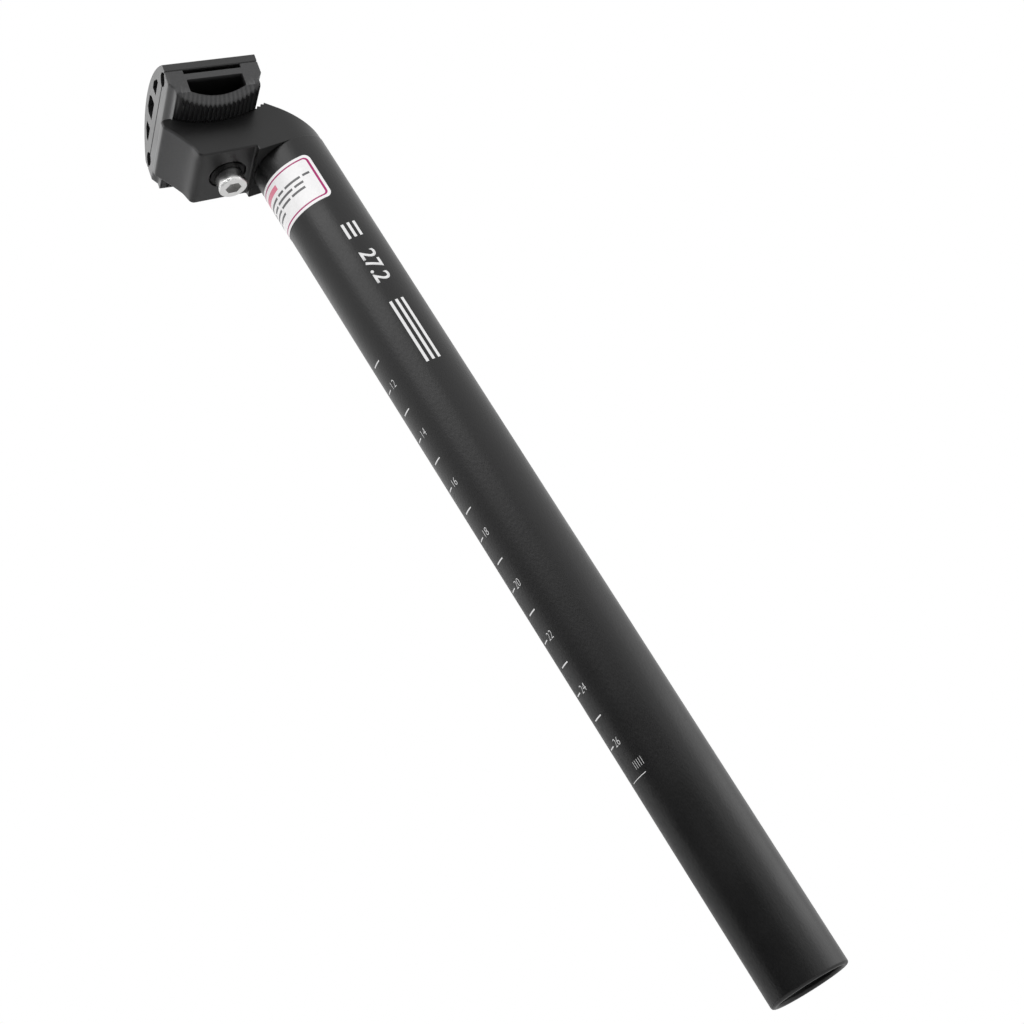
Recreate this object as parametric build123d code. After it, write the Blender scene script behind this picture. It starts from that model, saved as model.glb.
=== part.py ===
"""Bicycle seatpost with a set-back head and a single-bolt saddle clamp.

The tube stands on the Z axis with its open lower end at the origin, X points forward and Y to the left.
A forged head is bonded into the tube. Its serrated seat carries a cradle, which tilts about a lateral axis
above the clamp. The saddle's rails lie between the cradle and an arched upper clamp, and one bolt from below
pulls the upper clamp down by a barrel nut.
"""
import os
from math import cos, radians, sin, sqrt, tan

from build123d import *

# Tube, in millimetres as all lengths here
tube_od = 27.2
tube_wall = 2.2
tube_length = 326.5
tube_rim_round = 1.0

# Serrated seat: its lowest point, from the tube's axis and top end, its lean in degrees, and its teeth
seat_setback = 21.7
seat_rise = 15.9
clamp_lean = 11.5
seat_radius = 36.8
tooth_step = 2.5
tooth_depth = 0.8
tooth_gap = 0.05
seat_teeth = 14

# Bolt boss of the head: centre of its face, from the tube's axis and top end, and the lean of the bolt
boss_setback = 22.4
boss_rise = 3.0
bolt_lean = 7.9
boss_front = 8.6
boss_rear = 11.4
boss_round = 2.0
boss_edge = 0.6
waist_rear = 12.8
waist_rise = 4.4
waist_round = 6.0

# Lips of the seat, in front of and behind the bolt and above the boss face
front_lip = 17.5
front_lip_rise = 16.9
rear_lip = 19.7
rear_lip_rise = 17.3
rear_lip_height = 3.2
rear_hollow = 0.25
front_lip_round = 0.8
rear_lip_round = 1.5

# Neck and spigot
head_width = 26.8
neck_foot = 0.8
forged_round = 0.6
spigot_length = 40.0
spigot_wall = 3.0
bond_gap = 0.05

# Clamp halves and the grooves for the saddle's rails
clamp_length = 32.1
clamp_width = 52.0
rail_diameter = 7.0
rail_spacing = 43.0
lower_groove_depth = 1.7
upper_groove_depth = 2.5
parting_edge = 0.3

# Cradle, from its toothed foot up
cradle_height = 12.9
foot_length = 29.0
foot_shoulder = 5.7
flange_height = 5.05
end_bevel_height = 3.5
end_bevel_width = 4.8
pocket_length = 19.4
pocket_depth = 12.0
pocket_floor = 2.2
pocket_roof = 4.3
pocket_round = 0.5
notch_length = 20.0
notch_depth = 1.9

# Upper clamp
arch_end = 2.9
arch_crown = 11.4
arch_round = 0.5
window_floor = 3.9
window_roof = 2.5
centre_window_width = 9.0
centre_window_shoulder = 1.5
truss_width = 4.4
side_window_length = 7.0
side_window_tip = 1.3

# Bolt, washer and barrel nut
bolt_diameter = 6.0
bolt_length = 35.0
bolt_head_diameter = 10.0
bolt_head_height = 6.0
bolt_edge = 0.4
hex_across = 5.0
hex_depth = 3.0
bolt_hole_clearance = 0.3
washer_diameter = 12.0
washer_thickness = 1.6
washer_clearance = 0.2
recess_diameter = 13.5
nut_diameter = 9.0
nut_length = 15.0
nut_height = 32.5
nut_edge = 0.5
nut_end_clearance = 0.2
thread_clearance = 0.05

# Tilt to each side in teeth, travel of the nut when the bolt is loosened, and room round the moving pieces
tilt_teeth = 3
loosen_travel = 4.0
slot_clearance = 0.4

tube_radius = tube_od / 2
neck_radius = head_width / 2
groove_radius = rail_diameter / 2
tilt_reach = radians(tilt_teeth * tooth_step)
bolt_angle = radians(bolt_lean - clamp_lean)
shank_room = bolt_diameter / 2 + slot_clearance
beyond = 60.0

seat_frame = Location((-seat_setback, 0, tube_length + seat_rise), (0, clamp_lean, 0))
bolt_frame = Location((-boss_setback, 0, tube_length + boss_rise), (0, bolt_lean, 0))


def bolt_offset():
    """Distance at which the bolt's axis passes in front of the tilt axis."""
    lean = radians(clamp_lean)
    forward = seat_setback - boss_setback - seat_radius * sin(lean)
    up = boss_rise - seat_rise - seat_radius * cos(lean)
    return forward * cos(radians(bolt_lean)) - up * sin(radians(bolt_lean))


def bolt_position(height, tilt):
    """Forward position of the bolt's axis at a height in the clamp, with the clamp tilted by an angle."""
    angle = bolt_angle + tilt
    return (bolt_offset() + (height - seat_radius) * sin(angle)) / cos(angle)


def bolt_level(distance):
    """Height in the clamp of a point on the bolt's axis, at a distance from the boss face."""
    lean = radians(clamp_lean)
    face = (seat_setback - boss_setback) * sin(lean) + (boss_rise - seat_rise) * cos(lean)
    return face + distance * cos(bolt_angle)


def bolt_slot(low, high):
    """Slot along the clamp that lets the bolt through between two heights at every tilt."""
    rear = []
    front = []
    for height in (low, high):
        reached = [bolt_position(height, tilt) for tilt in (-tilt_reach, tilt_reach)]
        rear.append((min(reached) - shank_room, height))
        front.append((max(reached) + shank_room, height))
    outline = Plane.XZ * make_face(Polyline(*rear, *reversed(front), close=True))
    return extrude(outline, shank_room, both=True)


def toothed_block(offset):
    """All that lies above the seat's row of V teeth, with a tooth root at the lowest point, grown by offset."""
    points = []
    for half_step in range(-2 * seat_teeth, 2 * seat_teeth + 1):
        side = -1 if half_step % 2 == 0 else 1
        radius = seat_radius + offset + side * tooth_depth / 2
        angle = radians(half_step * tooth_step / 2)
        points.append((radius * sin(angle), seat_radius - radius * cos(angle)))
    corners = [(points[-1][0], beyond), (points[0][0], beyond)]
    outline = Plane.XZ * make_face(Polyline(*points, *corners, close=True))
    return extrude(outline, clamp_width / 2, both=True)


def lateral_rod(radius, width):
    """A rod along Y through the origin."""
    return Rot(90, 0, 0) * Cylinder(radius, width)


def block(x_low, x_high, width, z_low, z_high):
    """A block between two X and two Z values, centred on Y = 0."""
    size = (x_high - x_low, width, z_high - z_low)
    return Pos((x_low + x_high) / 2, 0, (z_low + z_high) / 2) * Box(*size)


def upright(radius, z_low, z_high):
    """A round bar along Z between two heights."""
    return Pos(0, 0, (z_low + z_high) / 2) * Cylinder(radius, z_high - z_low)


def both_sides(piece):
    """A piece and its mirror image across the lateral middle plane."""
    return piece + mirror(piece, Plane.XZ)


def along_clamp(outline):
    """A bar along the rails with a closed outline of lateral and upward positions."""
    return extrude(Plane.YZ * make_face(Polyline(*outline, close=True)), clamp_length, both=True)


def make_tube():
    """Drawn tube with a rounded rim at the open lower end."""
    tube = upright(tube_radius, 0, tube_length) - upright(tube_radius - tube_wall, 0, tube_length)
    rim = tube.edges().filter_by(GeomType.CIRCLE).group_by(Axis.Z)[0]
    return fillet(rim, min(tube_rim_round, 0.45 * tube_wall))


def head_point(forward, up):
    """A point of the head's side view, from the centre of the boss face, across and along the bolt."""
    lean = radians(bolt_lean)
    x = -boss_setback + forward * cos(lean) + up * sin(lean)
    z = tube_length + boss_rise - forward * sin(lean) + up * cos(lean)
    return (x, z)


def head_side_view():
    """Outline of the head from the side, from the neck's front over the lips and round the bolt boss."""
    neck_base = (neck_radius, tube_length)
    neck_front = (neck_radius, tube_length + neck_foot)
    lip_front = head_point(front_lip, front_lip_rise)
    lip_rear = head_point(-rear_lip, rear_lip_rise)
    lip_edge = head_point(-rear_lip, rear_lip_rise - rear_lip_height)
    waist = head_point(-waist_rear, waist_rise)
    boss_back = head_point(-boss_rear, 0)
    boss_end = head_point(boss_front, 0)
    rounds = [
        (lip_front, front_lip_round),
        (lip_rear, rear_lip_round),
        (lip_edge, rear_lip_round),
        (waist, waist_round),
        (boss_back, boss_round),
        (boss_end, boss_edge),
    ]
    with BuildSketch(Plane.XZ) as view:
        with BuildLine():
            Polyline(neck_base, neck_front, lip_front, lip_rear, lip_edge)
            SagittaArc(lip_edge, waist, rear_hollow)
            Polyline(waist, boss_back, boss_end, (boss_end[0], tube_length), neck_base)
        make_face()
        for corner, radius in rounds:
            fillet(view.vertices().sort_by_distance(corner)[0], radius)
    return view.sketch


def make_head():
    """Forged head: block over the tube, round in front, with the seat, the bolt boss and the spigot."""
    top = tube_length + beyond
    plan = block(-boss_setback - beyond, 0, head_width, 0, top) + upright(neck_radius, 0, top)
    body = extrude(head_side_view(), neck_radius, both=True) & plan
    rims = [rim for rim in body.edges() if abs(rim.center().Y) > 0.99 * neck_radius]
    rims = [rim for rim in rims if rim.center().X < -bond_gap and rim.center().Z > tube_length + bond_gap]
    body = fillet(rims, forged_round)

    spigot_radius = tube_radius - tube_wall - bond_gap
    spigot = upright(spigot_radius, tube_length - spigot_length, tube_length)
    spigot -= upright(spigot_radius - spigot_wall, tube_length - spigot_length, tube_length)
    hole = upright(bolt_diameter / 2 + bolt_hole_clearance, 0, bolt_length)
    recess = upright(recess_diameter / 2, -bolt_head_height, washer_thickness)
    return body + spigot - seat_frame * toothed_block(tooth_gap) - bolt_frame * (hole + recess)


def rail_grooves(depth, side):
    """Rods along the rails that cut the grooves of a clamp half, the lower half with side -1."""
    centre = cradle_height + side * (depth - groove_radius)
    groove = Rot(0, 90, 0) * Cylinder(groove_radius, clamp_length)
    return both_sides(Pos(0, rail_spacing / 2, centre) * groove)


def make_cradle():
    """Lower clamp half with a toothed foot, from the lowest point of the seat up to the parting plane."""
    half = clamp_length / 2
    foot = foot_length / 2
    flange = cradle_height - flange_height
    right = [(half, cradle_height), (half, flange), (foot, foot_shoulder), (foot, -beyond)]
    left = [(-x, z) for x, z in reversed(right)]
    outline = Plane.XZ * make_face(Polyline(*right, *left, close=True))
    body = extrude(outline, clamp_width / 2, both=True) & toothed_block(0)
    body = chamfer(body.edges().group_by(Axis.Z)[-1], parting_edge)

    with BuildSketch(Plane.XZ.offset(-clamp_width / 2)) as pocket_view:
        with Locations((0, seat_radius)):
            Circle(seat_radius - pocket_floor)
        with Locations((0, cradle_height - pocket_roof)):
            Rectangle(pocket_length, beyond, align=(Align.CENTER, Align.MAX), mode=Mode.INTERSECT)
        fillet(pocket_view.vertices(), pocket_round)
    pocket = extrude(pocket_view.sketch, pocket_depth)

    notch_reach = (clamp_width - rail_spacing) / 2
    notch = Box(notch_length, notch_reach, 2 * notch_depth)
    notch = Pos(0, clamp_width / 2 - notch_reach / 2, cradle_height) * notch

    end = clamp_width / 2
    run_out = end_bevel_width * (end_bevel_height + tooth_depth) / end_bevel_height
    bevel = along_clamp([(end, end_bevel_height), (end, -tooth_depth), (end - run_out, -tooth_depth)])
    cuts = both_sides(pocket) + both_sides(notch) + both_sides(bevel) + rail_grooves(lower_groove_depth, -1)
    return seat_frame * (body - cuts - bolt_slot(-tooth_depth, cradle_height))


def make_upper_clamp():
    """Arched upper clamp with three windows and a pocket for the barrel nut."""
    half = clamp_width / 2
    end = cradle_height + arch_end
    crown = cradle_height + arch_crown
    with BuildSketch(Plane.YZ) as arch:
        with BuildLine():
            ThreePointArc((-half, end), (0, crown), (half, end))
            Polyline((half, end), (half, cradle_height), (-half, cradle_height), (-half, end))
        make_face()
        fillet(arch.vertices().group_by(Axis.Y)[-1], arch_round)
    body = extrude(arch.sketch, clamp_length / 2, both=True)
    body = chamfer(body.edges().group_by(Axis.Z)[0], parting_edge)

    floor = cradle_height + window_floor
    roof = crown - window_roof
    shoulder = roof - centre_window_shoulder
    centre = centre_window_width / 2
    neck = centre - centre_window_shoulder
    middle_right = [(centre, floor), (centre, shoulder), (neck, roof)]
    middle_left = [(-y, z) for y, z in reversed(middle_right)]
    inner = centre + truss_width
    outer = inner + side_window_length
    tip = floor + side_window_tip
    side_window = [(inner, floor), (outer, floor), (outer, tip), ((inner + outer) / 2, shoulder), (inner, shoulder)]
    windows = along_clamp(middle_right + middle_left) + both_sides(along_clamp(side_window))

    nut_radius = nut_diameter / 2
    pocket_width = nut_length + 2 * nut_end_clearance
    nut_level = bolt_level(nut_height)
    nut_arm = sqrt((seat_radius - nut_level) ** 2 + bolt_position(nut_level, 0) ** 2)
    sway = nut_arm * sin(tilt_reach) + loosen_travel * tan(tilt_reach - bolt_angle)
    reach = nut_radius + sway + slot_clearance
    pocket = Pos(0, 0, seat_radius) * lateral_rod(nut_arm + nut_radius + tooth_gap, pocket_width)
    pocket &= block(-reach, reach, pocket_width, cradle_height, crown)
    slot = bolt_slot(cradle_height, nut_level)
    return seat_frame * (body - windows - pocket - slot - rail_grooves(upper_groove_depth, 1))


def make_bolt():
    """Socket head cap screw, its head below the boss face."""
    head = upright(bolt_head_diameter / 2, -bolt_head_height, 0)
    head = fillet(head.edges().filter_by(GeomType.CIRCLE).group_by(Axis.Z)[0], bolt_edge)
    socket = RegularPolygon(hex_across / sqrt(3), 6)
    head -= Pos(0, 0, -bolt_head_height) * extrude(socket, hex_depth)
    shank = upright(bolt_diameter / 2, 0, bolt_length)
    shank = chamfer(shank.edges().group_by(Axis.Z)[-1], bolt_edge)
    return bolt_frame * (head + shank)


def make_washer():
    """Flat washer in the recess of the boss."""
    ring = upright(washer_diameter / 2, 0, washer_thickness)
    return bolt_frame * (ring - upright(bolt_diameter / 2 + washer_clearance, 0, washer_thickness))


def make_nut():
    """Barrel nut across the bolt, with its threaded hole along it."""
    barrel = lateral_rod(nut_diameter / 2, nut_length)
    barrel = chamfer(barrel.edges().filter_by(GeomType.CIRCLE), nut_edge)
    hole = upright(bolt_diameter / 2 + thread_clearance, -nut_diameter, nut_diameter)
    return bolt_frame * Pos(0, 0, nut_height) * (barrel - hole)


nodes = {
    "post_tube": make_tube(),
    "post_head": make_head(),
    "saddle_cradle": make_cradle(),
    "upper_clamp": make_upper_clamp(),
    "clamp_bolt": make_bolt(),
    "bolt_washer": make_washer(),
    "barrel_nut": make_nut(),
}

os.makedirs("parts", exist_ok=True)
for name, piece in nodes.items():
    export_step(piece, f"parts/{name}.step")
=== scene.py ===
"""Bicycle seatpost with a set-back head and a single-bolt saddle clamp, in metres, in the CAD frame."""
import math

import bmesh
import bpy
from mathutils import Matrix, Vector


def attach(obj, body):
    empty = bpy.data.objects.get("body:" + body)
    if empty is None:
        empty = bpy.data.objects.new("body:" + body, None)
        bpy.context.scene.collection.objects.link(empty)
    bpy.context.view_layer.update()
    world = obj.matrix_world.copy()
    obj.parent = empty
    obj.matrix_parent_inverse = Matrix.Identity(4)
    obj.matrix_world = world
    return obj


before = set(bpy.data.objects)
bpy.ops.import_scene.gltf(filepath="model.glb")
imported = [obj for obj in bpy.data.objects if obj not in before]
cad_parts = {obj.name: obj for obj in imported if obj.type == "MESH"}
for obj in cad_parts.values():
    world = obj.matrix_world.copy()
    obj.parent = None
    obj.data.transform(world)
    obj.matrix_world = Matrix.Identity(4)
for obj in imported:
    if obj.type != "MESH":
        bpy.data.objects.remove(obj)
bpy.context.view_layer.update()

# Tube: a drawn aluminium tube with a satin black anodised skin, whose fine drawing grain still shows.
# It stands on the Z axis, with its open lower end at the origin.
tube_radius = 0.0136
tube_black = (0.0035, 0.0035, 0.0037)
tube_roughness = 0.37
tube_grain_scale = 1300.0
tube_grain_stretch = (1.0, 1.0, 0.5)
tube_grain_depth = 0.00022
tube_edge = 0.0003
anodised_contrast = 1.2
cloud_scale = 45.0
cloud_low = 0.3
cloud_high = 0.7
gloss_swing = 0.04


def worked_out(tree, operation, *values):
    """A value over a surface, worked out from sockets and plain numbers."""
    node = tree.nodes.new("ShaderNodeMath")
    node.operation = operation
    for place, value in enumerate(values):
        if isinstance(value, float):
            node.inputs[place].default_value = value
        else:
            tree.links.new(value, node.inputs[place])
    return node.outputs[0]


def faded(tree, value, low, high, at_low, at_high):
    """A value that goes evenly from one level to another, while another value goes from low to high."""
    node = tree.nodes.new("ShaderNodeMapRange")
    node.inputs["From Min"].default_value = low
    node.inputs["From Max"].default_value = high
    node.inputs["To Min"].default_value = at_low
    node.inputs["To Max"].default_value = at_high
    tree.links.new(value, node.inputs["Value"])
    return node.outputs["Result"]


def tinted(tree, colour, level):
    """A colour made paler or darker by a level."""
    node = tree.nodes.new("ShaderNodeVectorMath")
    node.operation = "SCALE"
    tree.links.new(colour, node.inputs[0])
    tree.links.new(level, node.inputs["Scale"])
    return node.outputs[0]


grain = bpy.data.node_groups.new("anodised_grain", "ShaderNodeTree")
grain.interface.new_socket("Colour", in_out="INPUT", socket_type="NodeSocketColor")
grain.interface.new_socket("Scale", in_out="INPUT", socket_type="NodeSocketFloat")
grain.interface.new_socket("Stretch", in_out="INPUT", socket_type="NodeSocketVector")
grain.interface.new_socket("Contrast", in_out="INPUT", socket_type="NodeSocketFloat")
grain.interface.new_socket("Roughness", in_out="INPUT", socket_type="NodeSocketFloat")
grain.interface.new_socket("Colour", in_out="OUTPUT", socket_type="NodeSocketColor")
grain.interface.new_socket("Roughness", in_out="OUTPUT", socket_type="NodeSocketFloat")
grain.interface.new_socket("Height", in_out="OUTPUT", socket_type="NodeSocketFloat")
grain_in = grain.nodes.new("NodeGroupInput")
grain_out = grain.nodes.new("NodeGroupOutput")
grain_place = grain.nodes.new("ShaderNodeTexCoord")
grain_stretch = grain.nodes.new("ShaderNodeVectorMath")
grain_stretch.operation = "MULTIPLY"
grain.links.new(grain_place.outputs["Object"], grain_stretch.inputs[0])
grain.links.new(grain_in.outputs["Stretch"], grain_stretch.inputs[1])
fine = grain.nodes.new("ShaderNodeTexNoise")
fine.inputs["Detail"].default_value = 3.0
fine.inputs["Roughness"].default_value = 0.6
grain.links.new(grain_stretch.outputs[0], fine.inputs["Vector"])
grain.links.new(grain_in.outputs["Scale"], fine.inputs["Scale"])
cloud = grain.nodes.new("ShaderNodeTexNoise")
cloud.inputs["Scale"].default_value = cloud_scale
cloud.inputs["Detail"].default_value = 2.0
grain.links.new(grain_place.outputs["Object"], cloud.inputs["Vector"])
uneven = worked_out(grain, "SUBTRACT", fine.outputs["Fac"], 0.5)
shade = worked_out(grain, "MULTIPLY_ADD", uneven, grain_in.outputs["Contrast"], 1.0)
gloss = faded(grain, cloud.outputs["Fac"], cloud_low, cloud_high, -gloss_swing, gloss_swing)
rough = worked_out(grain, "ADD", grain_in.outputs["Roughness"], gloss)
grain.links.new(tinted(grain, grain_in.outputs["Colour"], shade), grain_out.inputs["Colour"])
grain.links.new(rough, grain_out.inputs["Roughness"])
grain.links.new(fine.outputs["Fac"], grain_out.inputs["Height"])


def grained(skin, colour, roughness, scale, stretch, contrast):
    """The grain in a material, with that material's own values."""
    texture = skin.node_tree.nodes.new("ShaderNodeGroup")
    texture.name = "grain"
    texture.node_tree = grain
    texture.inputs["Colour"].default_value = (*colour, 1.0)
    texture.inputs["Roughness"].default_value = roughness
    texture.inputs["Scale"].default_value = scale
    texture.inputs["Stretch"].default_value = stretch
    texture.inputs["Contrast"].default_value = contrast
    return texture


def anodised(name, colour, roughness, scale, stretch, depth, edge):
    """A black skin on metal with its grain: fine dots where it was blasted, lines where it was drawn.
    Its edges are broken by a small radius."""
    skin = bpy.data.materials.new(name)
    skin.use_nodes = True
    nodes = skin.node_tree.nodes
    links = skin.node_tree.links
    shader = nodes["Principled BSDF"]
    shader.inputs["Specular IOR Level"].default_value = 0.5
    texture = grained(skin, colour, roughness, scale, stretch, anodised_contrast)
    broken_edge = nodes.new("ShaderNodeBevel")
    broken_edge.name = "edge"
    broken_edge.samples = 6
    broken_edge.inputs["Radius"].default_value = edge
    bump = nodes.new("ShaderNodeBump")
    bump.name = "bump"
    bump.inputs["Strength"].default_value = 0.25
    bump.inputs["Distance"].default_value = depth
    links.new(texture.outputs["Colour"], shader.inputs["Base Color"])
    links.new(texture.outputs["Roughness"], shader.inputs["Roughness"])
    links.new(texture.outputs["Height"], bump.inputs["Height"])
    links.new(broken_edge.outputs["Normal"], bump.inputs["Normal"])
    links.new(bump.outputs["Normal"], shader.inputs["Normal"])
    return skin


def finish_node(name, skin):
    """Give a CAD node its finish."""
    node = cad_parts[name]
    node.data.materials.clear()
    node.data.materials.append(skin)


satin_black = anodised(
    "satin_black_tube",
    tube_black,
    tube_roughness,
    tube_grain_scale,
    tube_grain_stretch,
    tube_grain_depth,
    tube_edge,
)
finish_node("post_tube", satin_black)

# Depth scale: white ink printed on the rear of the tube, with a plain tick and a numbered tick in turn,
# both 20 mm apart. The numbers are centimetres. Below them, five fine bars over a line mark the least depth
# in the bicycle's frame. Angles are degrees round the tube and heights are above its lower end.
ink_height = 0.00003
ink_white = (0.86, 0.86, 0.86)
ink_roughness = 0.5
ink_grain_scale = 900.0
ink_contrast = 0.12
even_grain = (1.0, 1.0, 1.0)
wrap_step = 0.0006
wrap_merge = 0.00002
type_size_per_height = 1.4
scale_count = 8
scale_step = 0.02
plain_tick_angle = -183.2
plain_tick_start = 0.1021
plain_tick_length = 0.0045
plain_tick_half = 0.00022
numbered_tick_angle = -191.4
numbered_tick_start = 0.0921
numbered_tick_length = 0.0033
numbered_tick_half = 0.0002
lowest_number = 26
number_step = 2
number_angle = -166.5
number_start = 0.0922
number_height = 0.0030
number_narrow = 0.74
number_weight = -0.00008
depth_bar_count = 5
depth_bar_angle = -161.2
depth_bar_step = 3.75
depth_bar_half = 0.00006
depth_bar_low = 0.0815
depth_bar_high = 0.0842
depth_line_angle = -186.0
depth_line_height = 0.0792
depth_line_length = 0.0085
depth_line_half = 0.0001


def wrap_on_tube(mesh, angle, height, base, top):
    """Bend a flat mesh round the tube as a thin solid, with its X running round the tube and its Y up it."""
    shape = bmesh.new()
    shape.from_mesh(mesh)
    low = min(v.co.x for v in shape.verts)
    high = max(v.co.x for v in shape.verts)
    cut = low + wrap_step
    while cut < high:
        everything = shape.verts[:] + shape.edges[:] + shape.faces[:]
        bmesh.ops.bisect_plane(
            shape, geom=everything, dist=wrap_merge, plane_co=(cut, 0, 0), plane_no=(1, 0, 0)
        )
        cut += wrap_step
    lowered = bmesh.ops.extrude_face_region(shape, geom=shape.faces[:])["geom"]
    for v in lowered:
        if isinstance(v, bmesh.types.BMVert):
            v.co.z = base - top
    for v in shape.verts:
        turn = math.radians(angle) + v.co.x / tube_radius
        radius = tube_radius + top + v.co.z
        v.co = (radius * math.cos(turn), radius * math.sin(turn), height + v.co.y)
    bmesh.ops.recalc_face_normals(shape, faces=shape.faces)
    shape.to_mesh(mesh)
    shape.free()


def flat_bar(x_low, x_high, y_low, y_high):
    """A flat rectangular mesh."""
    mesh = bpy.data.meshes.new("bar")
    corners = [(x_low, y_low, 0), (x_high, y_low, 0), (x_high, y_high, 0), (x_low, y_high, 0)]
    mesh.from_pydata(corners, [], [(0, 1, 2, 3)])
    return mesh


def flat_number(text, tall, narrow, weight):
    """A flat mesh of digits, centred on the origin, with strokes that are thicker or thinner by a weight."""
    letters = bpy.data.curves.new("digits", "FONT")
    letters.body = text
    letters.size = tall * type_size_per_height
    letters.align_x = "CENTER"
    letters.align_y = "CENTER"
    letters.offset = weight
    letters.resolution_u = 4
    holder = bpy.data.objects.new("digits", letters)
    bpy.context.scene.collection.objects.link(holder)
    bpy.context.view_layer.update()
    mesh = bpy.data.meshes.new_from_object(holder.evaluated_get(bpy.context.evaluated_depsgraph_get()))
    bpy.data.objects.remove(holder)
    mesh.transform(Matrix.Diagonal((narrow, 1, 1, 1)))
    return mesh


def joined(name, meshes, skin):
    """One piece on the post made of several wrapped meshes."""
    shape = bmesh.new()
    for mesh in meshes:
        shape.from_mesh(mesh)
        bpy.data.meshes.remove(mesh)
    whole = bpy.data.meshes.new(name)
    shape.to_mesh(whole)
    shape.free()
    whole.materials.append(skin)
    piece = bpy.data.objects.new(name, whole)
    bpy.context.scene.collection.objects.link(piece)
    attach(piece, "post")


def printed(name, colour, roughness):
    """Ink or film on the post, slightly uneven in its cover."""
    ink = bpy.data.materials.new(name)
    ink.use_nodes = True
    links = ink.node_tree.links
    shader = ink.node_tree.nodes["Principled BSDF"]
    texture = grained(ink, colour, roughness, ink_grain_scale, even_grain, ink_contrast)
    links.new(texture.outputs["Colour"], shader.inputs["Base Color"])
    links.new(texture.outputs["Roughness"], shader.inputs["Roughness"])
    return ink


white_ink = printed("white_ink", ink_white, ink_roughness)
scale_meshes = []
for count in range(scale_count):
    rise = scale_step * count
    plain = flat_bar(0, plain_tick_length, -plain_tick_half, plain_tick_half)
    wrap_on_tube(plain, plain_tick_angle, plain_tick_start + rise, 0, ink_height)
    numbered = flat_bar(0, numbered_tick_length, -numbered_tick_half, numbered_tick_half)
    wrap_on_tube(numbered, numbered_tick_angle, numbered_tick_start + rise, 0, ink_height)
    number = str(lowest_number - number_step * count)
    digits = flat_number(number, number_height, number_narrow, number_weight)
    wrap_on_tube(digits, number_angle, number_start + rise, 0, ink_height)
    scale_meshes += [plain, numbered, digits]
for count in range(depth_bar_count):
    bar = flat_bar(-depth_bar_half, depth_bar_half, depth_bar_low, depth_bar_high)
    wrap_on_tube(bar, depth_bar_angle + depth_bar_step * count, 0, 0, ink_height)
    scale_meshes.append(bar)
depth_line = flat_bar(0, depth_line_length, -depth_line_half, depth_line_half)
wrap_on_tube(depth_line, depth_line_angle, depth_line_height, 0, ink_height)
scale_meshes.append(depth_line)
joined("depth_scale", scale_meshes, white_ink)

# Size mark: the tube's diameter in millimetres, reading down the tube's right side, between plain stripes.
# It is printed with the same white ink as the scale.
size_mark_angle = -93.0
size_number_place = 0.2705
size_number_height = 0.0056
size_number_weight = 0.00012
stripe_spacing = 0.0022
stripe_half = 0.0005
upper_stripes = (0.2830, 0.2890)
lower_stripes = (0.2310, 0.2560)
size_number = flat_number("27.2", size_number_height, 1.0, size_number_weight)
size_number.transform(Matrix.Rotation(math.radians(-90), 4, "Z"))
wrap_on_tube(size_number, size_mark_angle, size_number_place, 0, ink_height)
size_meshes = [size_number]
for low, high in (upper_stripes, lower_stripes):
    for place in (-stripe_spacing, 0.0, stripe_spacing):
        stripe = flat_bar(place - stripe_half, place + stripe_half, low, high)
        wrap_on_tube(stripe, size_mark_angle, 0, 0, ink_height)
        size_meshes.append(stripe)
joined("size_mark", size_meshes, white_ink)

# Label: a white plastic film with rounded corners and a printed border, stuck round the rear of the tube
# under the head. A pink bar and rows of grey bars are printed on it, and each row has a height and the
# lengths of its bars.
label_low = 0.3009
label_high = 0.3191
label_reach = 92.0
label_half = tube_radius * math.radians(label_reach)
label_angle = 180.0
label_corner = 0.0022
corner_parts = 6
film_height = 0.00008
film_white = (0.97, 0.96, 0.965)
film_roughness = 0.3
border_inset = 0.0010
border_corner = 0.0016
border_inner_side = 0.0018
border_inner_end = 0.0015
border_inner_corner = 0.0011
border_magenta = (0.42, 0.012, 0.15)
border_roughness = 0.35
heading_start = -0.0085
heading_end = 0.0062
heading_low = 0.3141
heading_high = 0.3160
heading_pink = (0.80, 0.24, 0.34)
row_start = -0.0172
row_gap = 0.0010
row_half = 0.00042
row_grey = (0.13, 0.13, 0.135)
bar_roughness = 0.4
rows = (
    (0.3122, (0.0040, 0.0060, 0.0090, 0.0028, 0.0066, 0.0026)),
    (0.3101, (0.0052, 0.0078, 0.0040, 0.0080, 0.0036)),
    (0.3080, (0.0066, 0.0036, 0.0074, 0.0050, 0.0056)),
    (0.3059, (0.0050, 0.0074, 0.0062)),
)


def rounded_outline(half, low, high, corner):
    """Corner points of a rectangle with rounded corners, anticlockwise."""
    points = []
    for x, y, start in (
        (half - corner, high - corner, 0),
        (-half + corner, high - corner, 90),
        (-half + corner, low + corner, 180),
        (half - corner, low + corner, 270),
    ):
        for part in range(corner_parts + 1):
            angle = math.radians(start + 90 / corner_parts * part)
            points.append((x + corner * math.cos(angle), y + corner * math.sin(angle), 0))
    return points


film = bpy.data.meshes.new("film")
outline = rounded_outline(label_half, label_low, label_high, label_corner)
film.from_pydata(outline, [], [tuple(range(len(outline)))])
wrap_on_tube(film, label_angle, 0, 0, film_height)
joined("label_film", [film], printed("white_film", film_white, film_roughness))

print_height = film_height + ink_height
border = bpy.data.meshes.new("border")
outer = rounded_outline(
    label_half - border_inset, label_low + border_inset, label_high - border_inset, border_corner
)
inner = rounded_outline(
    label_half - border_inner_side,
    label_low + border_inner_end,
    label_high - border_inner_end,
    border_inner_corner,
)
count = len(outer)
sides = [(i, (i + 1) % count, count + (i + 1) % count, count + i) for i in range(count)]
border.from_pydata(outer + inner, [], sides)
wrap_on_tube(border, label_angle, 0, film_height, print_height)
joined("label_border", [border], printed("magenta_ink", border_magenta, border_roughness))

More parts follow.
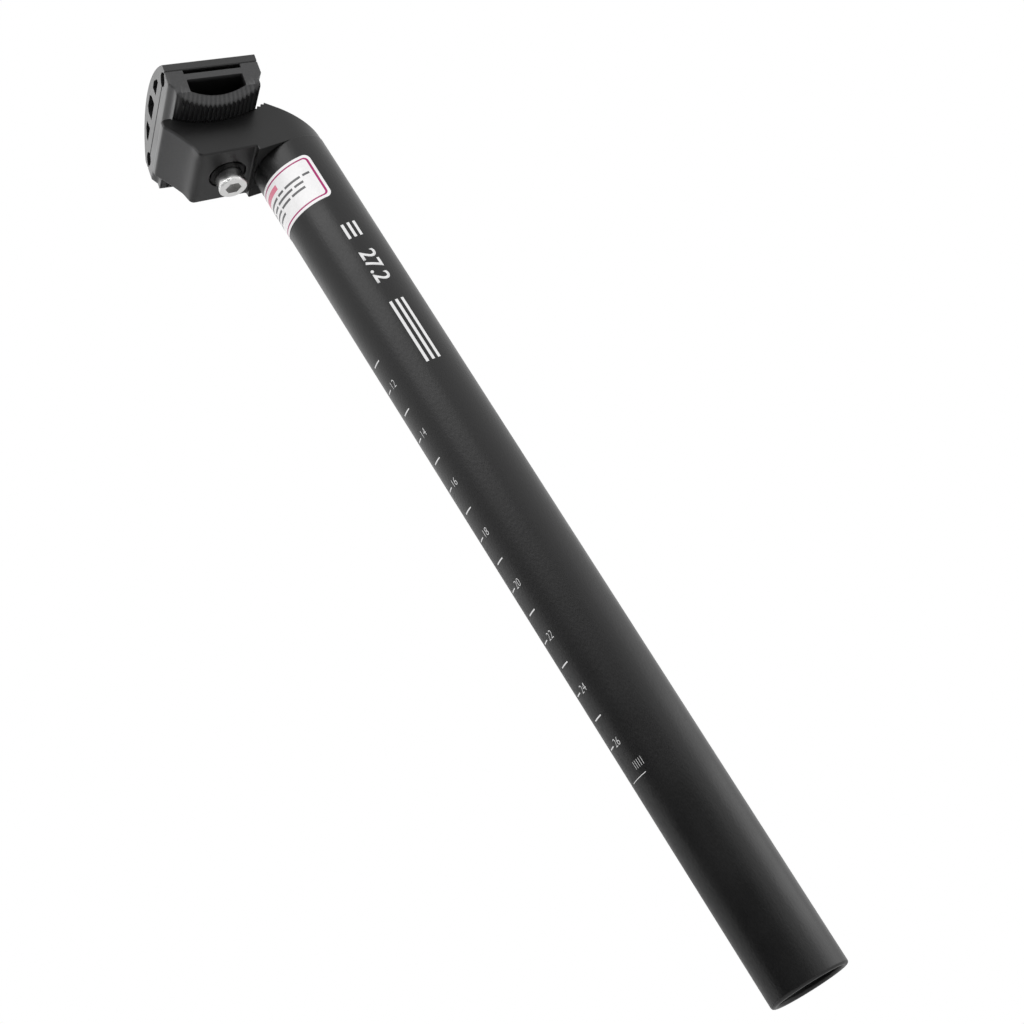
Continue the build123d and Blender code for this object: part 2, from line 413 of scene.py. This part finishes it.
heading = flat_bar(heading_start, heading_end, heading_low, heading_high)
wrap_on_tube(heading, label_angle, 0, film_height, print_height)
joined("label_heading", [heading], printed("pink_ink", heading_pink, bar_roughness))

row_meshes = []
for level, lengths in rows:
    start = row_start
    for length in lengths:
        bar = flat_bar(start, start + length, level - row_half, level + row_half)
        wrap_on_tube(bar, label_angle, 0, film_height, print_height)
        row_meshes.append(bar)
        start += length + row_gap
joined("label_lines", row_meshes, printed("grey_ink", row_grey, bar_roughness))

# Head: an aluminium forging, blasted and anodised black, bonded into the tube by its spigot.
# The rear edge of its bolt boss was forged wide and soft, up to the boss's sides and the bolt's recess.
# The rear face above the bolt's seat is painted paler, as painted light, and the corner between the boss and
# the tube is dull.
head_black = (0.006, 0.006, 0.0062)
head_roughness = 0.34
blasted_grain_scale = 2600.0
head_grain_depth = 0.00009
head_edge = 0.0004
head_half_width = 0.0134
bolt_seat = (-0.0224, 0.0, 0.3295)
bolt_lean = 7.9
recess_radius = 0.00675
soft_edge = 0.0045
soft_edge_front = -0.0050
soft_edge_top = 0.0085
rear_face_front = -0.0090
rear_face_side = 0.0001
rear_painted_fade = 0.0035
rear_painted_gain = 7.0
corner_front = 0.0088
corner_top = -0.0004
corner_side = 0.0002
corner_dullness = 0.55
blasted_black = anodised(
    "blasted_black_head",
    head_black,
    head_roughness,
    blasted_grain_scale,
    even_grain,
    head_grain_depth,
    head_edge,
)
head_tree = blasted_black.node_tree
head_shader = head_tree.nodes["Principled BSDF"]
head_grain = head_tree.nodes["grain"]


def placed_from(tree, location, lean):
    """Positions on a surface, in a frame that stands at a location and leans forward."""
    place = tree.nodes.new("ShaderNodeTexCoord")
    local = tree.nodes.new("ShaderNodeMapping")
    local.vector_type = "TEXTURE"
    local.inputs["Location"].default_value = location
    local.inputs["Rotation"].default_value = (0.0, math.radians(lean), 0.0)
    tree.links.new(place.outputs["Object"], local.inputs["Vector"])
    split = tree.nodes.new("ShaderNodeSeparateXYZ")
    tree.links.new(local.outputs["Vector"], split.inputs[0])
    return split.outputs["X"], split.outputs["Y"], split.outputs["Z"]


def off_axis(tree, first, second):
    """The distance from an axis, from the two offsets across it."""
    squares = worked_out(tree, "MULTIPLY_ADD", first, first, worked_out(tree, "MULTIPLY", second, second))
    return worked_out(tree, "SQRT", squares)


def where_all(tree, *masks):
    """A mask of the places where each of several masks holds."""
    whole = masks[0]
    for mask in masks[1:]:
        whole = worked_out(tree, "MULTIPLY", whole, mask)
    return whole


boss_x, boss_y, boss_z = placed_from(head_tree, bolt_seat, bolt_lean)
side_room = worked_out(head_tree, "SUBTRACT", head_half_width, worked_out(head_tree, "ABSOLUTE", boss_y))
recess_room = worked_out(head_tree, "SUBTRACT", off_axis(head_tree, boss_x, boss_y), recess_radius)
least_room = worked_out(head_tree, "MINIMUM", side_room, recess_room)
edge_room = worked_out(head_tree, "MINIMUM", least_room, soft_edge)
at_boss_rear = where_all(
    head_tree,
    worked_out(head_tree, "LESS_THAN", boss_x, soft_edge_front),
    worked_out(head_tree, "LESS_THAN", boss_z, soft_edge_top),
)
rear_edge_width = worked_out(head_tree, "MULTIPLY", edge_room, at_boss_rear)
edge_width = worked_out(head_tree, "MAXIMUM", rear_edge_width, head_edge)
head_tree.links.new(edge_width, head_tree.nodes["edge"].inputs["Radius"])

# Painted light: the rear face is painted up to seven times paler above the bolt's seat.
on_rear_face = where_all(
    head_tree,
    worked_out(head_tree, "LESS_THAN", boss_x, rear_face_front),
    worked_out(head_tree, "GREATER_THAN", side_room, rear_face_side),
)
rear_height = worked_out(head_tree, "MULTIPLY", boss_z, on_rear_face)
rear_painted_tone = faded(head_tree, rear_height, 0.0, rear_painted_fade, 1.0, rear_painted_gain)
head_colour = tinted(head_tree, head_grain.outputs["Colour"], rear_painted_tone)
head_tree.links.new(head_colour, head_shader.inputs["Base Color"])

in_corner = where_all(
    head_tree,
    worked_out(head_tree, "GREATER_THAN", boss_x, corner_front),
    worked_out(head_tree, "LESS_THAN", boss_z, corner_top),
    worked_out(head_tree, "GREATER_THAN", side_room, corner_side),
)
head_rough = head_grain.outputs["Roughness"]
head_dull = worked_out(head_tree, "MULTIPLY_ADD", in_corner, corner_dullness, head_rough)
head_tree.links.new(head_dull, head_shader.inputs["Roughness"])
finish_node("post_head", blasted_black)

# Cradle: the lower clamp half, sawn from an aluminium bar with teeth along its foot, blasted and anodised
# black. The teeth run out over the bevelled ends, and the foot's front and rear edges are rounded.
# The teeth and the bottoms of the two pockets are darkened with painted shade. Where the teeth run out over
# the bevelled ends, the colour is painted paler in streaks along them, as painted light.
# Painted light: the cradle's black is set paler than the upper clamp's, as if lit more from below.
cradle_painted_black = (0.040, 0.040, 0.041)
clamp_roughness = 0.36
clamp_grain_depth = 0.00006
clamp_edge = 0.0002
clamp_half_width = 0.0260
clamp_lean = 11.5
tilt_axis = (-0.014363, 0.0, 0.378461)
seat_radius = 0.0368
tooth_step = 2.5
tooth_half_step = math.radians(tooth_step / 2)
tooth_shade_below = 0.0003
tooth_shade_above = 0.0006
tooth_painted_darkness = 0.08
pocket_length = 0.0194
pocket_floor = 0.0022
pocket_margin = 0.0001
pocket_mouth = 0.0003
pocket_deep = 0.0020
pocket_painted_darkening = -0.85
end_bevel_width = 0.0048
tooth_mark_reach = 0.0128
run_out_end = 0.0040
run_out_start = 0.0012
run_out_depth = 0.00035
painted_streak_least = 0.2
painted_streak_swing = 0.7
foot_edge = 0.0018
foot_edge_start = 0.0127
foot_edge_top = -0.0253
sawn_black = anodised(
    "sawn_black_cradle",
    cradle_painted_black,
    clamp_roughness,
    blasted_grain_scale,
    even_grain,
    clamp_grain_depth,
    clamp_edge,
)
cradle_tree = sawn_black.node_tree
cradle_shader = cradle_tree.nodes["Principled BSDF"]
foot_x, foot_y, foot_z = placed_from(cradle_tree, tilt_axis, clamp_lean)
lengthways = worked_out(cradle_tree, "ABSOLUTE", foot_x)
sideways = worked_out(cradle_tree, "ABSOLUTE", foot_y)
axis_distance = off_axis(cradle_tree, foot_x, foot_z)

# Painted shade: the teeth are darkened to under a tenth, and the bottoms of the pockets too.
tooth_painted_shade = faded(
    cradle_tree,
    axis_distance,
    seat_radius - tooth_shade_above,
    seat_radius + tooth_shade_below,
    1.0,
    tooth_painted_darkness,
)
pocket_painted_shade = faded(
    cradle_tree,
    sideways,
    clamp_half_width - pocket_deep,
    clamp_half_width - pocket_mouth,
    pocket_painted_darkening,
    0.0,
)
in_pocket = where_all(
    cradle_tree,
    worked_out(cradle_tree, "LESS_THAN", lengthways, pocket_length / 2 + pocket_margin),
    worked_out(cradle_tree, "LESS_THAN", axis_distance, seat_radius - pocket_floor + pocket_margin),
)
pocket_painted_tone = worked_out(cradle_tree, "MULTIPLY_ADD", in_pocket, pocket_painted_shade, 1.0)
painted_shade_tone = worked_out(cradle_tree, "MULTIPLY", tooth_painted_shade, pocket_painted_tone)

tooth_angle = worked_out(cradle_tree, "ARCTAN2", foot_x, worked_out(cradle_tree, "MULTIPLY", foot_z, -1.0))
tooth_wave = worked_out(cradle_tree, "PINGPONG", tooth_angle, tooth_half_step)
tooth_height = worked_out(cradle_tree, "MULTIPLY", tooth_wave, 1 / tooth_half_step)
run_out = where_all(
    cradle_tree,
    faded(cradle_tree, axis_distance, seat_radius - run_out_end, seat_radius - run_out_start, 0.0, 1.0),
    worked_out(cradle_tree, "GREATER_THAN", sideways, clamp_half_width - end_bevel_width),
    worked_out(cradle_tree, "LESS_THAN", lengthways, tooth_mark_reach),
)
# Painted light: the run-out band is painted paler, in streaks along the tooth ridges.
painted_streak_level = worked_out(cradle_tree, "MULTIPLY_ADD", tooth_height, painted_streak_swing, painted_streak_least)
painted_streaks = worked_out(cradle_tree, "MULTIPLY_ADD", run_out, painted_streak_level, 1.0)
cradle_painted_tone = worked_out(cradle_tree, "MULTIPLY", painted_shade_tone, painted_streaks)
cradle_colour = tinted(cradle_tree, cradle_tree.nodes["grain"].outputs["Colour"], cradle_painted_tone)
cradle_tree.links.new(cradle_colour, cradle_shader.inputs["Base Color"])
run_out_bump = cradle_tree.nodes.new("ShaderNodeBump")
run_out_bump.inputs["Strength"].default_value = 1.0
run_out_bump.inputs["Distance"].default_value = run_out_depth
run_out_height = worked_out(cradle_tree, "MULTIPLY", tooth_height, run_out)
cradle_tree.links.new(run_out_height, run_out_bump.inputs["Height"])
cradle_tree.links.new(cradle_tree.nodes["bump"].outputs["Normal"], run_out_bump.inputs["Normal"])
cradle_tree.links.new(run_out_bump.outputs["Normal"], cradle_shader.inputs["Normal"])

at_foot_edge = where_all(
    cradle_tree,
    worked_out(cradle_tree, "GREATER_THAN", lengthways, foot_edge_start),
    worked_out(cradle_tree, "LESS_THAN", foot_z, foot_edge_top),
)
cradle_round = worked_out(cradle_tree, "MULTIPLY_ADD", at_foot_edge, foot_edge - clamp_edge, clamp_edge)
cradle_tree.links.new(cradle_round, cradle_tree.nodes["edge"].inputs["Radius"])
finish_node("saddle_cradle", sawn_black)

# Upper clamp: the arched half over the saddle's rails, cut through by three windows between its trusses.
# It is sawn, blasted and anodised like the cradle, with a darker black than the cradle's, which is painted
# paler as painted light, and the bolt pulls it down by its nut.
upper_black = (0.022, 0.022, 0.0225)
sawn_black_upper = anodised(
    "sawn_black_upper",
    upper_black,
    clamp_roughness,
    blasted_grain_scale,
    even_grain,
    clamp_grain_depth,
    clamp_edge,
)
finish_node("upper_clamp", sawn_black_upper)

# Clamp bolt: a bright plated M6 socket head cap screw, put in from below and threaded along its shank.
# The rim of its head is rounded, and inside the socket its colour is darker and its surface duller.
bolt_white = (0.95, 0.95, 0.94)
bolt_roughness = 0.18
bolt_grain_scale = 700.0
bolt_contrast = 0.15
socket_radius = 0.0030
socket_face = -0.0058
socket_bottom = -0.0028
socket_tone = 0.7
socket_dullness = 0.15
thread_pitch = 0.001
thread_start = 0.0100
thread_radius = 0.0031
thread_bump_gain = 1.2
bolt_edge = 0.0002
rim_round = 0.0021
rim_inside = 0.0047
rim_top = -0.0010
bright_steel = bpy.data.materials.new("bright_steel")
bright_steel.use_nodes = True
bolt_tree = bright_steel.node_tree
bolt_shader = bolt_tree.nodes["Principled BSDF"]
bolt_shader.inputs["Metallic"].default_value = 1.0
bolt_grain = grained(bright_steel, bolt_white, bolt_roughness, bolt_grain_scale, even_grain, bolt_contrast)
shank_x, shank_y, shank_z = placed_from(bolt_tree, bolt_seat, bolt_lean)
shank_distance = off_axis(bolt_tree, shank_x, shank_y)

in_socket = where_all(
    bolt_tree,
    worked_out(bolt_tree, "LESS_THAN", shank_distance, socket_radius),
    worked_out(bolt_tree, "LESS_THAN", shank_z, socket_bottom),
    worked_out(bolt_tree, "GREATER_THAN", shank_z, socket_face),
)
bolt_tone = faded(bolt_tree, in_socket, 0.0, 1.0, 1.0, socket_tone)
bolt_rough = bolt_grain.outputs["Roughness"]
bolt_dull = worked_out(bolt_tree, "MULTIPLY_ADD", in_socket, socket_dullness, bolt_rough)
bolt_colour = tinted(bolt_tree, bolt_grain.outputs["Colour"], bolt_tone)
bolt_tree.links.new(bolt_colour, bolt_shader.inputs["Base Color"])
bolt_tree.links.new(bolt_dull, bolt_shader.inputs["Roughness"])

thread_turn = worked_out(bolt_tree, "ARCTAN2", shank_y, shank_x)
thread_rise = worked_out(bolt_tree, "MULTIPLY_ADD", thread_turn, -thread_pitch / math.tau, shank_z)
thread_height = where_all(
    bolt_tree,
    worked_out(bolt_tree, "PINGPONG", thread_rise, thread_pitch / 2),
    worked_out(bolt_tree, "LESS_THAN", shank_distance, thread_radius),
    worked_out(bolt_tree, "GREATER_THAN", shank_z, thread_start),
)
on_rim = where_all(
    bolt_tree,
    worked_out(bolt_tree, "GREATER_THAN", shank_distance, rim_inside),
    worked_out(bolt_tree, "LESS_THAN", shank_z, rim_top),
)
bolt_rounding = bolt_tree.nodes.new("ShaderNodeBevel")
bolt_rounding.samples = 6
bolt_round = worked_out(bolt_tree, "MULTIPLY_ADD", on_rim, rim_round - bolt_edge, bolt_edge)
bolt_tree.links.new(bolt_round, bolt_rounding.inputs["Radius"])
thread_bump = bolt_tree.nodes.new("ShaderNodeBump")
thread_bump.inputs["Strength"].default_value = 1.0
thread_bump.inputs["Distance"].default_value = thread_bump_gain
bolt_tree.links.new(thread_height, thread_bump.inputs["Height"])
bolt_tree.links.new(bolt_rounding.outputs["Normal"], thread_bump.inputs["Normal"])
bolt_tree.links.new(thread_bump.outputs["Normal"], bolt_shader.inputs["Normal"])
finish_node("clamp_bolt", bright_steel)

# Washer and barrel nut: turned from steel, with a black oxide skin that shines little.
# The washer lies in the boss's recess under the bolt's head, and the nut in a cross bore of the upper clamp.
oxide_black = (0.006, 0.006, 0.006)
oxide_roughness = 0.4
oxide_grain_scale = 2000.0
oxide_grain_depth = 0.00002
oxide_edge = 0.0002
oxide_shine = 0.12
black_oxide = anodised(
    "black_oxide_steel",
    oxide_black,
    oxide_roughness,
    oxide_grain_scale,
    even_grain,
    oxide_grain_depth,
    oxide_edge,
)
black_oxide.node_tree.nodes["Principled BSDF"].inputs["Specular IOR Level"].default_value = oxide_shine
finish_node("bolt_washer", black_oxide)
finish_node("barrel_nut", black_oxide)

# Studio: a pale floor well below the post, a white surround, and soft boxes above the camera, to its right
# and on the far side. Half a ring of cloth stands round the post's rear. It shows only in reflections, as
# the bands that give the black tube its form.
floor_level = -0.35
floor_half = 12.0
floor_tone = 0.68
cloth_roughness = 0.9
surround_fill = 0.8
post_middle = Vector((-0.005, 0, 0.19))
ring_radius = 1.15
ring_start = -283.0
ring_step = 10.5
ring_tops = [0.60] * 4 + [0.40] * 4 + [0.50] * 12
cloth_tones = (("black_cloth", 0.02), ("grey_cloth", 0.45), ("pale_cloth", 0.68))
cloth_order = [2] * 8 + [0] * 9 + [1] * 2
scene = bpy.context.scene
scene.view_settings.view_transform = "Standard"


def matt(name, tone):
    """A plain grey that doesn't shine."""
    skin = bpy.data.materials.new(name)
    skin.use_nodes = True
    shader = skin.node_tree.nodes["Principled BSDF"]
    shader.inputs["Base Color"].default_value = (tone, tone, tone, 1.0)
    shader.inputs["Roughness"].default_value = cloth_roughness
    return skin


floor_mesh = bpy.data.meshes.new("studio_floor")
floor_corners = [
    (-floor_half, -floor_half, floor_level),
    (floor_half, -floor_half, floor_level),
    (floor_half, floor_half, floor_level),
    (-floor_half, floor_half, floor_level),
]
floor_mesh.from_pydata(floor_corners, [], [(0, 1, 2, 3)])
floor_mesh.materials.append(matt("pale_floor", floor_tone))
floor = bpy.data.objects.new("studio_floor", floor_mesh)
scene.collection.objects.link(floor)

world = bpy.data.worlds.new("white_surround")
scene.world = world
world.use_nodes = True
sky = world.node_tree
sky.nodes.clear()
path = sky.nodes.new("ShaderNodeLightPath")
seen = worked_out(sky, "MAXIMUM", path.outputs["Is Camera Ray"], path.outputs["Is Glossy Ray"])
shown = worked_out(sky, "MAXIMUM", seen, path.outputs["Is Transmission Ray"])
white = sky.nodes.new("ShaderNodeBackground")
white.inputs["Color"].default_value = (1.0, 1.0, 1.0, 1.0)
fill = sky.nodes.new("ShaderNodeBackground")
fill.inputs["Color"].default_value = (1.0, 1.0, 1.0, 1.0)
fill.inputs["Strength"].default_value = surround_fill
choice = sky.nodes.new("ShaderNodeMixShader")
sky.links.new(shown, choice.inputs["Fac"])
sky.links.new(fill.outputs[0], choice.inputs[1])
sky.links.new(white.outputs[0], choice.inputs[2])
sky_out = sky.nodes.new("ShaderNodeOutputWorld")
sky.links.new(choice.outputs[0], sky_out.inputs["Surface"])


def soft_box(name, azimuth, elevation, distance, wide, tall, power):
    """A rectangular soft box that faces the middle of the post."""
    lamp = bpy.data.lights.new(name, "AREA")
    lamp.shape = "RECTANGLE"
    lamp.size = wide
    lamp.size_y = tall
    lamp.energy = power
    box = bpy.data.objects.new(name, lamp)
    turn = math.radians(azimuth)
    rise = math.radians(elevation)
    away = Vector((math.cos(turn) * math.cos(rise), math.sin(turn) * math.cos(rise), math.sin(rise)))
    box.location = post_middle + distance * away
    box.rotation_euler = away.to_track_quat("Z", "Y").to_euler()
    scene.collection.objects.link(box)


soft_box("soft_box_top", azimuth=-125.0, elevation=38.0, distance=1.45, wide=1.15, tall=0.6, power=5.2)
soft_box("soft_box_right", azimuth=-25.0, elevation=-6.0, distance=1.15, wide=1.0, tall=0.55, power=2.6)
soft_box("soft_box_rear", azimuth=106.0, elevation=42.0, distance=1.3, wide=0.7, tall=0.5, power=0.75)

ring_mesh = bpy.data.meshes.new("studio_flag")
ring_points = []
ring_faces = []
for count, top in enumerate(ring_tops):
    turn = math.radians(ring_start + ring_step * count)
    for height in (floor_level, top):
        ring_points.append((ring_radius * math.cos(turn), ring_radius * math.sin(turn), height))
    if count > 0:
        ring_faces.append((2 * count - 2, 2 * count, 2 * count + 1, 2 * count - 1))
ring_mesh.from_pydata(ring_points, [], ring_faces)
for name, tone in cloth_tones:
    ring_mesh.materials.append(matt(name, tone))
for face in ring_mesh.polygons:
    face.material_index = cloth_order[face.index]
flag = bpy.data.objects.new("studio_flag", ring_mesh)
scene.collection.objects.link(flag)
flag.visible_camera = False
flag.visible_diffuse = False
flag.visible_shadow = False
flag.visible_transmission = False

# Camera: a short telephoto lens, low behind the right side of the post, looking up at it.
# It is rolled, so that the post lies aslant in the picture, with its head at the upper left.
camera_place = (-0.324735, -0.625915, -0.060532)
camera_turn = (111.68253, 30.45585, -16.05907)
lens = bpy.data.cameras.new("camera")
lens.lens = 81.122
lens.sensor_width = 36.0
lens.clip_start = 0.05
camera = bpy.data.objects.new("camera", lens)
camera.location = camera_place
camera.rotation_euler = [math.radians(angle) for angle in camera_turn]
scene.collection.objects.link(camera)
scene.camera = camera
